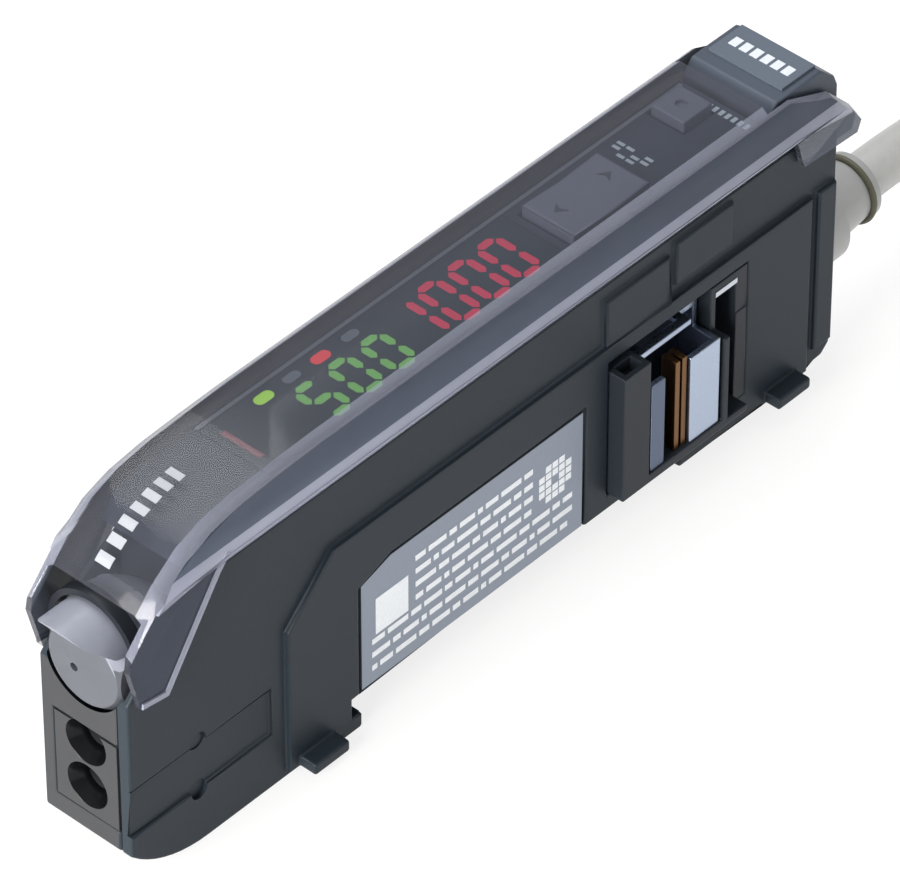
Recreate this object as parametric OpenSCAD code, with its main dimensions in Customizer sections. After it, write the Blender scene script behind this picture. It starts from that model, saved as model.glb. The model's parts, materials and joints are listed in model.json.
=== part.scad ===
// Fibre optic sensor amplifier for a 35 mm rail.
// Every x below is measured from the fibre face at the front; the finished model is then moved so
// that its origin is the middle of the rail channel, on the mid-plane, level with the feet.
// The side that carries the plug is -y, the cable leaves at +x, and z is up.

/* [Case] */
// Length of the case from the fibre face to the rear face
case_len = 75.2; // [72:0.1:84]
// Length of the rear block behind the key panel
rear_len = 8; // [7.4:0.1:10]
// Width of the case without the raised side plate
case_w = 8.5; // [8:0.1:10]
// Height of the case's top edge above the lever's hub
nose_rise = 1; // [0.8:0.1:1.4]
// Thickness of the case walls
wall = 1.1; // [0.9:0.1:1.3]
// Distance from the lower fibre's mouth down to the rounded chin
chin_gap = 2.4; // [1.8:0.1:3]
// Length of the rounded chin along the foot
chin_run = 7.6; // [6:0.1:10]
// How far the raised side plate stands proud
plate_rise = 0.45; // [0.3:0.05:0.6]
// Drop from the case's top edge to the raised side plate
plate_drop = 5.7; // [5:0.1:6]
// Protrusion of the two locating tabs on the plug side
tab_out = 1.5; // [0.8:0.1:2]

/* [Rail] */
// Width of the mounting rail
rail_w = 35; // [34:0.1:36]
// Play of the rail in its channel
rail_play = 0.5; // [0.2:0.1:1]
// Length of the front foot, from the fibre face to the channel
foot_len = 22.1; // [21:0.1:24]
// Height of the rail seat above the feet
seat_h = 3.2; // [2.8:0.1:3.6]
// Reach of the hooks under the rail
hook = 1; // [0.6:0.1:1.4]
// Thickness of the hooks
hook_t = 1.4; // [1:0.1:1.6]
// Width of the rear claw
claw_w = 2.4; // [2:0.1:4]
// Height of the case's underside behind the channel
rear_h = 2; // [1.6:0.1:2.6]

/* [Fibres] */
// Diameter of the optical fibres
fibre_d = 2.2; // [2:0.1:2.4]
// Clearance round a fibre, on the diameter
fibre_play = 0.1; // [0.06:0.02:0.2]
// Distance between the two fibres
fibre_pitch = 4.15; // [4:0.05:4.4]
// Depth of the fibre bores
fibre_depth = 10.6; // [9:0.1:11]
// Diameter of the lamp and the light receiver
opto_d = 3; // [2.6:0.1:3.2]

/* [Lock lever] */
// Clearance between the upper fibre's axis and the lever's hub
lever_seat = 2.5; // [2.2:0.1:3]
// Distance of the lever's pivot behind the fibre face
lever_x = 3.4; // [3:0.1:3.8]
// Radius of the lever's ball-shaped hub
lever_r = 4.7; // [4.4:0.1:4.9]
// Width of the lever
lever_w = 6.9; // [6:0.1:7]
// How far the finger lip reaches ahead of the fibre face
lip_out = 2.6; // [1.5:0.1:3.4]
// Diameter of the lever's pin
lever_pin_d = 1.6; // [1.2:0.1:2]

/* [Dust cover] */
// Height of the cover's roof above the feet
roof_h = 30.4; // [28:0.1:33]
// Height of the cover's roof above the key panel
cover_head = 2; // [1.8:0.1:3]
// Wall thickness of the cover
cover_t = 0.55; // [0.4:0.05:0.7]
// Gap between the cover and the case, each side
cover_gap = 0.2; // [0.15:0.05:0.35]
// Height of the cover's lower lip above the case's top edge
lip_rise = 1.6; // [0.6:0.1:2]
// How far the lip flares out from the cover's side
lip_flare = 0.2; // [0.1:0.05:0.3]
// Distance of the cover's hinge from the rear face
hinge_back = 3.2; // [2.8:0.1:3.5]
// Height of the cover's hinge above the case's top edge
hinge_rise = 2; // [1.6:0.1:2.4]
// Diameter of the cover's hinge pin
hinge_d = 1.4; // [1:0.1:1.8]

/* [Panel and keys] */
// Height of the key panel above the case's top edge
panel_rise = 3.8; // [3.4:0.1:4.2]
// Thickness of the key panel
panel_t = 1; // [0.8:0.1:1.2]
// Width of the key panel
panel_w = 8.2; // [8:0.1:8.3]
// Length of the display window
window_len = 31.4; // [28:0.1:36]
// Width of the display window
window_w = 6.8; // [6:0.1:7]
// Thickness of the display window
window_t = 0.7; // [0.5:0.1:0.8]
// Gap between the window and the rocker key
window_gap = 1.1; // [0.8:0.1:2]
// Length of the rocker key
rocker_len = 8.3; // [7:0.1:10]
// Width of the rocker key
rocker_w = 5; // [4:0.1:5.2]
// Length of the printed field between the rocker and the set key
legend_len = 6.5; // [5:0.1:8]
// Offset of the set key from the mid-plane
set_y = 1.6; // [1.2:0.1:1.7]
// Side of the square set key
set_w = 3.2; // [2.8:0.1:3.3]
// Distance from the set key to the panel's rear end
set_margin = 1.1; // [1:0.1:2]
// Height of the keys above the panel
key_rise = 0.8; // [0.5:0.1:0.9]
// Gap round the keys
key_gap = 0.22; // [0.15:0.01:0.3]

/* [Expansion plug] */
// Start of the plug behind the fibre face
plug_x = 49.6; // [49.2:0.1:50.5]
// Length of the plug along the case
plug_len = 15.2; // [14.6:0.1:15.6]
// Height of the plug's underside
plug_z = 4.7; // [4.5:0.1:5.2]
// Height of the plug housing
plug_h = 12.6; // [12:0.1:12.8]
// Protrusion of the plug from the case side
plug_out = 1.9; // [1.2:0.1:2.2]
// Thickness of the plug's folded metal shell
shell_t = 0.5; // [0.3:0.05:0.6]

/* [Cable] */
// Diameter of the cable
cable_d = 4; // [3.6:0.1:4.4]
// Height of the cable's axis at the case
cable_z = 11.2; // [10:0.1:13]
// Diameter of the boot's collar
boot_d = 7.6; // [6.6:0.1:7.8]
// Length of the boot
boot_len = 7.5; // [6:0.1:9]

/* [Hidden] */
$fn = 48;
eps = 0.01;
// Gaps, thin walls and the reach of cuts that pass right through
fit = 0.02;
far = 150;
panel_seam = 0.2;
panel_wall = 0.8;
board_gap = 0.15;
mouth_r = 1.95;
pin_play = 0.05;
seam = 0.1;
lever_gap = 0.3;
skin = 0.4;
cover_skin = 0.2;
half_w = case_w / 2;
// Heights, each set below the one before
panel_h = roof_h - cover_head;
case_top = panel_h - panel_rise;
plate_top = case_top - plate_drop;
lip_h = case_top + lip_rise;
hinge_z = case_top + hinge_rise;
lever_z = case_top - nose_rise - lever_r;
fibre_z = lever_z - lever_r - lever_seat;
fibre_zs = [fibre_z, fibre_z - fibre_pitch];
chin_h = fibre_zs[1] - mouth_r - chin_gap;
// Lengths along the panel, each set ahead of the one before
rear_x0 = case_len - rear_len;
panel_x1 = rear_x0 - panel_seam;
roof_end = panel_x1 - panel_seam;
hinge_x = case_len - hinge_back;
set_x = panel_x1 - set_margin - set_w / 2;
rocker_x = set_x - set_w / 2 - legend_len - rocker_len / 2;
window_end = rocker_x - rocker_len / 2 - window_gap;
window_x = window_end - window_len;
panel_x0 = lever_x + 3;
nose_end = window_x - 0.6;
nose_run = nose_end - panel_x0;
hollow_x = panel_x0 + 4.8;
split_y = -half_w + wall;
rail_end = foot_len + rail_w + rail_play;
pocket_w = lever_w + 2 * lever_gap;
chin_r = (chin_run * chin_run + chin_h * chin_h) / (2 * chin_h);
bore_r = (fibre_d + fibre_play) / 2;
mouth_len = 1.4;
fibre_end = mouth_len + fibre_depth;
holder_back = 2.2;
opto_rim = 0.8;
cover_in = half_w + cover_gap;
cover_out = cover_in + cover_t;
panel_floor = panel_h - panel_t;
window_z = panel_h + 0.2;
key_top = panel_h + key_rise;
// Places of the digits and lamps under the window
green_x = window_x + 7;
green_len = 9.8;
red_x = green_x + green_len + 0.8;
red_end = window_end - 1.8;
lamp_x = window_x + 4.8;
lamp_pitch = 3.12;
lamp_n = 4;
board_z = case_top + 0.3;
board_t = 0.8;
switch_w = 2.8;
switch_h = 0.6;
plunger_r = 0.7;
rocker_pin_z = panel_floor - 0.6;
rocker_pin_d = 1;
main_board_y = 1.6;
main_board_t = 1;
// Arch over the lever: height of its centre, start and length
arch_z = lever_z + 1.7;
arch_x = 1;
arch_len = 1.1;
// Rounding of the lever's lobe in plan, and of the hollow for the thumb
lobe_r = 2.7;
thumb_r = 5.1;
plate_y = -half_w - plate_rise;
plate_x = 15.6;
plate_slope = 4.8;
plate_end = case_len - 3;
// Outline of the label's shallow pocket
label_x = foot_len + 0.8;
label_len = plug_x - 2.5 - label_x;
label_top = plate_top - 4.2;
label_cut = 3.4;
label_t = 0.2;
plug_front = -half_w - plug_out;
shell_x = plug_x + 3.2;
shell_len = 7.6;
shell_end = shell_x + shell_len;
shell_y = -half_w + 2.5;
shell_z = plug_z + 0.8;
shell_top = plug_z + 11.4;
shell_lip_y = -half_w - 0.6;
shell_step = 1.2;
tab_rise = 0.8;
flange_y = plug_front + 0.15;
flange_top = plug_z + 9;
blade_t = 0.5;
blade_at = 2.9;
blade_pitch = 0.75;
blade_depth = 1.4;
blade_n = 2;
lip_len = 1.5;
flange_len = 3.3;
frame_w = 0.8;
frame_len = 2;
frame_t = 1;
socket_rim = 1.8;
socket_dip = 0.8;
socket_pitch = 2.2;
socket_at = 3.6;
pad_w = 1;
pad_t = 0.3;
pad_inset = 3;
slot_x = shell_end + 0.9;
slot_len = 2.2;
tag_x = rear_x0 + 2.3;
tag_len = 3.7;
tag_w = 7;
tag_t = 0.25;
rear_top = roof_h - 0.4;
// Route of the cable's loose stretch, from the boot to the coil on the floor
route = [[0, 0, 0], [4, 0, 0], [8, 0.1, -0.4], [12, 0.4, -1.7], [16, 1, -4.2], [20, 1.8, -6.7],
  [24, 2.6, -8], [28, 3.4, -8.4], [33, 4, -8.4], [41, 4, -8.4]];
route_end = route[len(route) - 1];
// Hank of the cable's long stretch: turns side by side, layers, straight part and inner bend
hank_turns = 2;
hank_layers = 6;
hank_run = 36;
hank_bend = 3 * cable_d;
hank_r = hank_bend + (hank_turns - 0.5) * cable_d;
hank_h = hank_layers * cable_d;
hank_x = case_len + boot_len + route_end[0];
hank_y = route_end[1] + cable_d / 2 - hank_r;
tie_t = 0.8;
tie_w = 5;
tie_gap = 1;
tie_x = hank_x + hank_run - tie_w - tie_gap;
lead_d = 1.2;
lead_len = 26;
lead_pitch = 1.5;
lead_n = 4;

// Moves a shape from fibre-face measure to the model's own origin
module placed() translate([-(foot_len + rail_end) / 2, 0, 0]) children();

// Extrudes an x-z outline from y0 to y1
module across(y0, y1) translate([0, y1, 0]) rotate([90, 0, 0]) linear_extrude(y1 - y0) children();

// Extrudes a y-z outline from x0 to x1
module along(x0, x1) translate([x0, 0, 0]) rotate([90, 0, 90]) linear_extrude(x1 - x0) children();

module block(x0, x1, y0, y1, z0, z1) translate([x0, y0, z0]) cube([x1 - x0, y1 - y0, z1 - z0]);

module y_rod(x, z, r, y0, y1) translate([x, y1, z]) rotate([90, 0, 0]) cylinder(h = y1 - y0, r = r);

module x_rod(y, z, r, x0, x1) translate([x0, y, z]) rotate([0, 90, 0]) cylinder(h = x1 - x0, r = r);

// Points of the rounded chin, from the fibre face down to the foot
function chin(n = 9) = [for (i = [0:n])
  let (a = acos((chin_r - chin_h) / chin_r) * (1 - i / n))
  [chin_run - chin_r * sin(a), chin_r - chin_r * cos(a)]];

// Side outline of the case: chin, foot, rail channel, rear and the slope under the cover's cheeks
module case_outline() polygon(concat(chin(), [
  [foot_len + hook, 0], [foot_len + hook, hook_t], [foot_len, hook_t], [foot_len, seat_h],
  [rail_end, seat_h], [rail_end, rear_h], [case_len - 0.8, rear_h], [case_len, rear_h + 0.8],
  [case_len, case_top], [lever_x + 5, case_top], [lever_x + 1.1, lever_z + 3.6],
  [0, lever_z - 1.3]]));

// Hollow for the boards and the optics, open at the fibre face for the fibre holder
module cavity_outline() polygon([
  [-1, chin_h + 1.7], [foot_len - wall, chin_h + 1.7], [foot_len - wall, seat_h + wall],
  [rail_end + wall, seat_h + wall], [rail_end + wall, rear_h + wall],
  [case_len - wall, rear_h + wall], [case_len - wall, case_top + 1], [lever_x + 6.4, case_top + 1],
  [lever_x + 6.4, fibre_z + 1.5], [-1, fibre_z + 1.5]]);

// Ball-shaped pocket in which the lever turns, open towards the nose
module lever_pocket() intersection() {
  union() {
    translate([lever_x, 0, lever_z]) sphere(r = lever_r + lever_gap, $fn = 64);
    block(-1, lever_x + 4.4, -pocket_w / 2, pocket_w / 2, lever_z, case_top + 1);
  }
  block(-far, far, -pocket_w / 2, pocket_w / 2, 0, case_top + 1);
}

module rear_claw() across(-claw_w / 2, claw_w / 2) polygon([
  [rail_end - hook, 0], [rail_end + 4, 0], [rail_end + 5.5, rear_h + 0.2],
  [rail_end + eps, rear_h + 0.2], [rail_end + eps, hook_t], [rail_end - hook, hook_t]]);

module socket_window(play) block(plug_x - play, plug_x + plug_len + play,
  main_board_y + main_board_t + pin_play, half_w + 1, plug_z - play, plug_z + plug_h + play);

module main_case() color("#3a424a") placed() difference() {
  union() {
    difference() {
      across(split_y + fit, half_w) case_outline();
      across(split_y - 1, half_w - wall) cavity_outline();
    }
    rear_claw();
  }
  lever_pocket();
  socket_window(seam);
  lever_axle(fit, 0);
}

// Raised plate of the side cover, with its sloping shoulder behind the nose
module plate_outline() intersection() {
  case_outline();
  union() {
    polygon([[plate_x, 0.6], [plate_x, plate_top - plate_slope], [plate_x + plate_slope, plate_top],
      [plate_end, plate_top], [plate_end, -1], [foot_len - 1, -1], [foot_len - 1, 0.6]]);
    translate([plate_end + 0.7, rear_h + 1.6]) square([2, plate_top - rear_h - 1.6]);
  }
}

module label_outline(inset) polygon([
  [label_x + inset, seat_h - 2 + inset * 7], [label_x + label_len - inset, seat_h - 2 + inset * 7],
  [label_x + label_len - inset, label_top - inset], [label_x + label_cut, label_top - inset],
  [label_x + inset, label_top - 1.3]]);

module tab(x) block(x, x + 3.6, plate_y - tab_out, -half_w, rear_h - 1.4, rear_h - 0.4);

// Stepped pads above the plug
module plug_pads() {
  block(plug_x - 0.3, plug_x + 6.6, -half_w - 0.35, -half_w + 0.2, plate_top, case_top - 1.4);
  block(plug_x + 7.3, plug_x + 13.6, -half_w - 0.35, -half_w + 0.2, plate_top + 1.2, case_top - 0.6);
}

module side_cover() color("#3d454d") placed() difference() {
  union() {
    across(-half_w, split_y) case_outline();
    across(plate_y, -half_w + 0.2) plate_outline();
    plug_pads();
    tab(plate_x + 1);
    translate([0, 0, 1.6]) tab(case_len - 8);
  }
  across(plate_y - 1, plate_y + 0.3) label_outline(0);
  block(-1, 14.2, -half_w - 1, -half_w + 0.25, 5.1, 9.5);
  for (z = [5, 9.7]) y_rod(6.8, z, 0.8, -half_w - 1, -half_w + 0.35);
  block(plug_x - seam, plug_x + plug_len + seam, plate_y - 1, 0, plug_z - seam, plug_z + plug_h + seam);
  lever_pocket();
  lever_axle(fit, 0);
}

module rating_label() color("#8f9aa6") placed()
  across(plate_y + 0.3 - label_t, plate_y + 0.3 - eps) intersection() {
    label_outline(0.3);
    translate([0, seat_h + 0.2]) square([case_len, case_top]);
  }

// Moulded block that closes the fibre face and guides both fibres onto the lamp and the receiver
module fibre_holder() color("#3a424a") placed() difference() {
  block(0, fibre_end + holder_back, split_y + seam, half_w - wall - seam,
    chin_h + 1.7 + seam, fibre_z + 1.5 - seam);
  for (z = fibre_zs) {
    translate([-eps, 0, z]) rotate([0, 90, 0]) cylinder(h = mouth_len, r1 = mouth_r, r2 = bore_r);
    x_rod(0, z, bore_r, -1, fibre_end + eps);
    x_rod(0, z, opto_d / 2 + fit, fibre_end, fibre_end + holder_back + 1);
  }
}

module opto(z) {
  x_rod(0, z, opto_d / 2, fibre_end + seam, fibre_end + holder_back + opto_rim);
  x_rod(0, z, opto_d / 2 + 0.3, fibre_end + holder_back + seam, fibre_end + holder_back + opto_rim);
}

module emitter_led() color("#c8d4d0") placed() opto(fibre_zs[0]);

module receiver_photodiode() color("#2b2b33") placed() opto(fibre_zs[1]);

// Ball hub cut flat at the fibre face, with a dished finger lip above it
module fibre_lock_lever() color("#a4a9b2") placed() difference() {
  union() {
    intersection() {
      translate([lever_x, 0, lever_z]) sphere(r = lever_r, $fn = 64);
      block(pin_play, far, -lever_w / 2, lever_w / 2, 0, case_top);
    }
    intersection() {
      across(-lever_w / 2, lever_w / 2) polygon([
        [0.05, lever_z + 2.6], [-lip_out + 0.5, lever_z + 4.5], [-lip_out, lever_z + 5.4],
        [-lip_out + 0.7, lever_z + 6.1], [0.4, lever_z + 6], [2.2, lever_z + 5.6],
        [lever_x + 1, lever_z + 5], [lever_x + 1, lever_z + 2]]);
      translate([lobe_r, 0, 0]) cylinder(h = far, r = lobe_r + lip_out, $fn = 64);
      x_rod(0, arch_z, lever_w / 2, -far, far);
    }
  }
  translate([-lip_out - 1.2, 0, lever_z + 2 * thumb_r]) sphere(r = thumb_r, $fn = 64);
  translate([0, 0.9, lever_z - 0.6]) rotate([0, 90, 0]) cylinder(h = 1.6, r = 0.35, center = true);
  y_rod(lever_x, lever_z, lever_pin_d / 2 + pin_play, -10, 10);
}

// Arch over the lever's shoulders, standing on the slopes of the case
module lever_arch() color("#2c3238") placed() difference() {
  along(arch_x, arch_x + arch_len) difference() {
    union() {
      translate([0, arch_z]) circle(r = half_w);
      translate([-half_w, lever_z - 3]) square([case_w, arch_z - lever_z + 3]);
    }
    translate([0, arch_z]) circle(r = pocket_w / 2);
    translate([-pocket_w / 2, 0]) square([pocket_w, arch_z]);
  }
  across(-10, 10) offset(delta = fit) case_outline();
}

// The lever's axle, with a given play and shorter by a given length at each end
module lever_axle(play, short) y_rod(lever_x, lever_z, lever_pin_d / 2 + play,
  -half_w + skin + short, half_w - skin - short);

module lever_pin() color("#b9bcc0") placed() lever_axle(0, pin_play);

// Side outline of the key panel, with the sloping nose in front
module panel_outline() polygon([
  [panel_x0 + 2.2, case_top], [panel_x0, case_top + 1.2], [panel_x0 + 0.1 * nose_run, panel_h - 1.1],
  [panel_x0 + 0.5 * nose_run, panel_h - 0.2], [nose_end, panel_h], [panel_x1, panel_h],
  [panel_x1, case_top]]);

module rocker_lugs() for (s = [-1, 1])
  translate([0, s * (rocker_w / 2 + 0.55), 0])
    block(rocker_x - 1.1, rocker_x + 1.1, -0.3, 0.3, rocker_pin_z - 0.9, panel_floor + 0.2);

module top_panel() color("#3b434c") placed() difference() {
  union() {
    difference() {
      across(-panel_w / 2, panel_w / 2) panel_outline();
      block(hollow_x, panel_x1 - panel_wall, -panel_w / 2 + panel_wall, panel_w / 2 - panel_wall,
        case_top - 1, panel_floor);
    }
    rocker_lugs();
  }
  block(window_x - fit, window_x + window_len + fit, -window_w / 2 - fit, window_w / 2 + fit,
    window_z - window_t, panel_h + 1);
  block(window_x + 1, window_x + window_len - 1, -window_w / 2 + 0.6, window_w / 2 - 0.6,
    case_top, panel_h);
  block(rocker_x - rocker_len / 2 - key_gap, rocker_x + rocker_len / 2 + key_gap,
    -rocker_w / 2 - key_gap, rocker_w / 2 + key_gap, panel_floor - 1, panel_h + 1);
  block(set_x - set_w / 2 - key_gap, set_x + set_w / 2 + key_gap, set_y - set_w / 2 - key_gap,
    set_y + set_w / 2 + key_gap, panel_floor - 1, panel_h + 1);
  y_rod(rocker_x, rocker_pin_z, rocker_pin_d / 2 + fit, -rocker_w, rocker_w);
}

module display_window() color("#4a5660", 0.8) placed()
  block(window_x, window_x + window_len, -window_w / 2, window_w / 2, window_z - window_t, window_z);

// Digit module standing on the panel board under the window
module digits(x0, x1) block(x0, x1, -window_w / 2 + 0.9, window_w / 2 - 1.9,
  board_z + board_t, window_z - window_t - 0.05);

module green_display() color("#4c6b48") placed() digits(green_x, green_x + green_len);

module red_display() color("#7a3040") placed() digits(red_x, red_end);

module indicator_lamps() color("#b8d060") placed() for (i = [0:lamp_n - 1])
  let (x = lamp_x + i * lamp_pitch)
  block(x, x + 1.9, window_w / 2 - 1.75, window_w / 2 - 0.75, board_z + board_t,
    window_z - window_t - 0.05);

// Rocker key with a crowned top and a hub on the pin
module up_down_rocker() color("#6e7687") placed() difference() {
  union() {
    across(-rocker_w / 2, rocker_w / 2) polygon([
      [rocker_x - rocker_len / 2, panel_floor + 0.1], [rocker_x + rocker_len / 2, panel_floor + 0.1],
      [rocker_x + rocker_len / 2, key_top - 0.15], [rocker_x + rocker_len / 2 - 0.4, key_top],
      [rocker_x, key_top - 0.2], [rocker_x - rocker_len / 2 + 0.4, key_top],
      [rocker_x - rocker_len / 2, key_top - 0.15]]);
    y_rod(rocker_x, rocker_pin_z, 0.9, -rocker_w / 2, rocker_w / 2);
    block(rocker_x - 0.7, rocker_x + 0.7, -rocker_w / 2, rocker_w / 2, rocker_pin_z, panel_floor + 0.2);
  }
  y_rod(rocker_x, rocker_pin_z, rocker_pin_d / 2 + pin_play, -rocker_w, rocker_w);
}

module rocker_pin() color("#b9bcc0") placed()
  y_rod(rocker_x, rocker_pin_z, rocker_pin_d / 2, -rocker_w / 2 - 0.8, rocker_w / 2 + 0.8);

module set_key() color("#6e7687") placed() difference() {
  union() {
    block(set_x - set_w / 2, set_x + set_w / 2, set_y - set_w / 2, set_y + set_w / 2,
      panel_floor - 0.4, key_top);
    block(set_x - set_w / 2 - 0.4, set_x + set_w / 2 + 0.3, set_y - set_w / 2 - 0.4,
      set_y + set_w / 2, panel_floor - 0.5, panel_floor - 0.1);
  }
  translate([set_x, set_y, key_top - 0.25]) cylinder(h = 1, r = 0.5);
}

module switch_body(x, y, top) {
  z = board_z + board_t;
  block(x - switch_w / 2, x + switch_w / 2, y - switch_w / 2, y + switch_w / 2, z, z + switch_h);
  translate([x, y, z]) cylinder(h = top - z, r = plunger_r);
}

module push_switches() color("#9aa0a6") placed() {
  for (s = [-1, 1]) switch_body(rocker_x + s * (rocker_len / 2 - 1.1), 0, panel_floor - 0.4);
  switch_body(set_x, set_y, panel_floor - 1.1);
}

module panel_board() color("#2c5a3c") placed()
  block(hollow_x + board_gap, panel_x1 - panel_wall - board_gap, board_gap + panel_wall - panel_w / 2,
    panel_w / 2 - panel_wall - board_gap, board_z, board_z + board_t);

module main_board() color("#2c5a3c") placed()
  block(foot_len, case_len - wall - seam, main_board_y, main_board_y + main_board_t,
    seat_h + wall + seam, case_top - 0.6);

// Fixed block that carries the tag and the cover's hinge pin
module rear_block() color("#3a424a") placed() difference() {
  across(-panel_w / 2, panel_w / 2) polygon([
    [rear_x0, case_top], [rear_x0, rear_top - 1.2], [rear_x0 + 1, rear_top], [tag_x + tag_len, rear_top],
    [case_len - 0.4, rear_top - 1.4], [case_len, rear_top - 2.4], [case_len, case_top]]);
  y_rod(hinge_x, hinge_z, hinge_d / 2 + fit, -10, 10);
}

module tag_plate() color("#566470") placed()
  block(tag_x, tag_x + tag_len, -tag_w / 2, tag_w / 2, rear_top, rear_top + tag_t);

// Outer side outline of the cover: cheeks over the lever, long roof, lip, arms and rear ears
module cover_outline() polygon([
  [0.6, lever_z - 1.3], [-0.4, lever_z + 2.6], [-0.2, lever_z + 4.4],
  [1.4, roof_h - 5.3], [2.9, roof_h - 3.6], [5.4, roof_h - 1.7], [8, roof_h - 0.75],
  [11, roof_h - 0.3], [15, roof_h - 0.1], [19, roof_h], [hinge_x - 3, roof_h],
  [hinge_x + 1.4, roof_h - 1.8], [case_len + 0.9, roof_h - 4.6], [case_len + 1.8, case_top - 0.1],
  [case_len + 1.4, case_top - 1.9], [case_len - 4.6, case_top - 1.6], [case_len - 5.6, lip_h],
  [9.6, lip_h], [8.6, case_top + 0.5], [3.2, lever_z - 1.7]]);

// Cross-section of the cover: flat roof, drafted sides and a flared lip
module cover_section() polygon([
  [-cover_out + 0.28, roof_h], [-cover_out + 0.08, roof_h - 1.2], [-cover_out + 0.08, lip_h + 1.5],
  [-cover_out - lip_flare, lip_h + 0.7], [-cover_out - lip_flare, lip_h], [-cover_out, lip_h - 0.1],
  [-cover_out, 0], [cover_out, 0], [cover_out, lip_h - 0.1], [cover_out + lip_flare, lip_h],
  [cover_out + lip_flare, lip_h + 0.7], [cover_out - 0.08, lip_h + 1.5],
  [cover_out - 0.08, roof_h - 1.2], [cover_out - 0.28, roof_h]]);

// Room under the cover, open behind the roof's end
module cover_hollow() across(-cover_in, cover_in) polygon([
  [-3, 0], [-3, roof_h - 5.3], [2 + cover_t, roof_h - 5.3], [3.3 + cover_t, roof_h - 3.6 - cover_t],
  [5.8 + cover_t, roof_h - 1.7 - cover_t], [8.2 + cover_t, roof_h - 0.75 - cover_t],
  [15, roof_h - 0.1 - cover_t], [19, roof_h - cover_t], [roof_end, roof_h - cover_t],
  [roof_end, roof_h + 1], [case_len + 5, roof_h + 1], [case_len + 5, 0]]);

module dust_cover() color("#7d8496", 0.55) placed() difference() {
  intersection() {
    across(-cover_out - 1, cover_out + 1) cover_outline();
    along(-5, case_len + 5) cover_section();
  }
  cover_hollow();
  cover_axle(pin_play, 0);
}

// The cover's axle, with a given play and shorter by a given length at each end
module cover_axle(play, short) y_rod(hinge_x, hinge_z, hinge_d / 2 + play,
  -cover_out + cover_skin + short, cover_out - cover_skin - short);

module cover_pin() color("#b9bcc0") placed() cover_axle(0, pin_play);

// Plug housing: a guide post, an open bay for the metal shell and a deep slot behind it
module plug_housing() color("#262c32") placed() difference() {
  block(plug_x, plug_x + plug_len, plug_front, main_board_y - seam, plug_z, plug_z + plug_h);
  block(plug_x + 0.6, plug_x + 2.4, plug_front + 0.5, plug_front + 1.6, plug_z + plug_h - 2, far);
  block(shell_x - 0.3, shell_end + 0.3, plug_front - 1, shell_y + seam, shell_z, far);
  block(plug_x - 1, shell_x, plug_front - 1, -half_w + 0.5, plug_z + plug_h - 0.8, far);
  block(slot_x, slot_x + slot_len, plug_front - 1, -half_w + 2.2, plug_z + 0.6, plug_z + plug_h - 1);
  block(slot_x + slot_len, far, plug_front - 1, -half_w - 0.5, 0, far);
  block(slot_x - 0.7, far, plug_front - 1, -half_w - plate_rise, plug_z + plug_h - 4, far);
}

// Shell folded from sheet: back with a raised tab, walls, lips and a stepped frame on top
module plug_shell() color("#9aa7bd") placed() {
  block(shell_x, shell_end, shell_y - shell_t, shell_y, shell_z, shell_top);
  block(shell_end - 3.2, shell_end, shell_y - shell_t, shell_y, shell_z, shell_top + tab_rise);
  block(shell_x, shell_x + shell_t, flange_y, shell_y, shell_z, flange_top);
  block(shell_x, shell_x + shell_t, shell_lip_y, shell_y, shell_z, shell_top);
  block(shell_x, shell_x + lip_len, flange_y, flange_y + shell_t, shell_z, flange_top);
  block(shell_end - shell_t, shell_end, flange_y, shell_y, shell_z, flange_top);
  block(shell_end - shell_t, shell_end, shell_lip_y + shell_step, shell_y, shell_z, shell_top);
  block(shell_end - flange_len, shell_end, flange_y, flange_y + shell_t, shell_z, flange_top);
  difference() {
    block(shell_x, shell_end, shell_lip_y, shell_y, shell_top - shell_t, shell_top);
    block(shell_end - frame_len, shell_end + 1, shell_lip_y - 1, shell_lip_y + shell_step, 0, far);
    block(shell_x + frame_w, shell_end - frame_len - frame_w, shell_lip_y + frame_w, shell_y - frame_w,
      0, far);
    block(shell_end - frame_len - frame_t, shell_end - frame_w, shell_lip_y + shell_step + frame_w,
      shell_y - frame_w, 0, far);
  }
}

module plug_contacts() color("#a5743c") placed() for (i = [0:blade_n - 1])
  let (x = shell_x + blade_at + i * blade_pitch, y = plug_front + 0.4)
  block(x, x + blade_t, y, y + blade_depth, shell_z, flange_top + 0.3);

module socket_housing() color("#262c32") placed() difference() {
  socket_window(0);
  block(0, far, half_w, far, 0, far);
  block(plug_x + socket_rim, plug_x + plug_len - socket_rim, half_w - socket_dip, far,
    plug_z + socket_rim, plug_z + plug_h - socket_rim);
}

module socket_contacts() color("#c9a24a") placed() for (i = [0:3])
  let (x = plug_x + socket_at + i * socket_pitch, y = half_w - socket_dip)
  block(x, x + pad_w, y, y + pad_t, plug_z + pad_inset, plug_z + plug_h - pad_inset);

module cable_boot() color("#d6d6d2") placed() translate([case_len, 0, cable_z]) rotate([0, 90, 0])
  rotate_extrude() polygon([
    [0, 0], [boot_d / 2 - 0.3, 0], [boot_d / 2, 0.4], [boot_d / 2, 2.6], [boot_d / 2 - 0.9, 3.3],
    [cable_d / 2 + 0.6, boot_len - 0.9], [cable_d / 2 + 0.8, boot_len - 0.7],
    [cable_d / 2 + 0.8, boot_len - 0.1], [cable_d / 2 + 0.7, boot_len], [0, boot_len]]);

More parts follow.
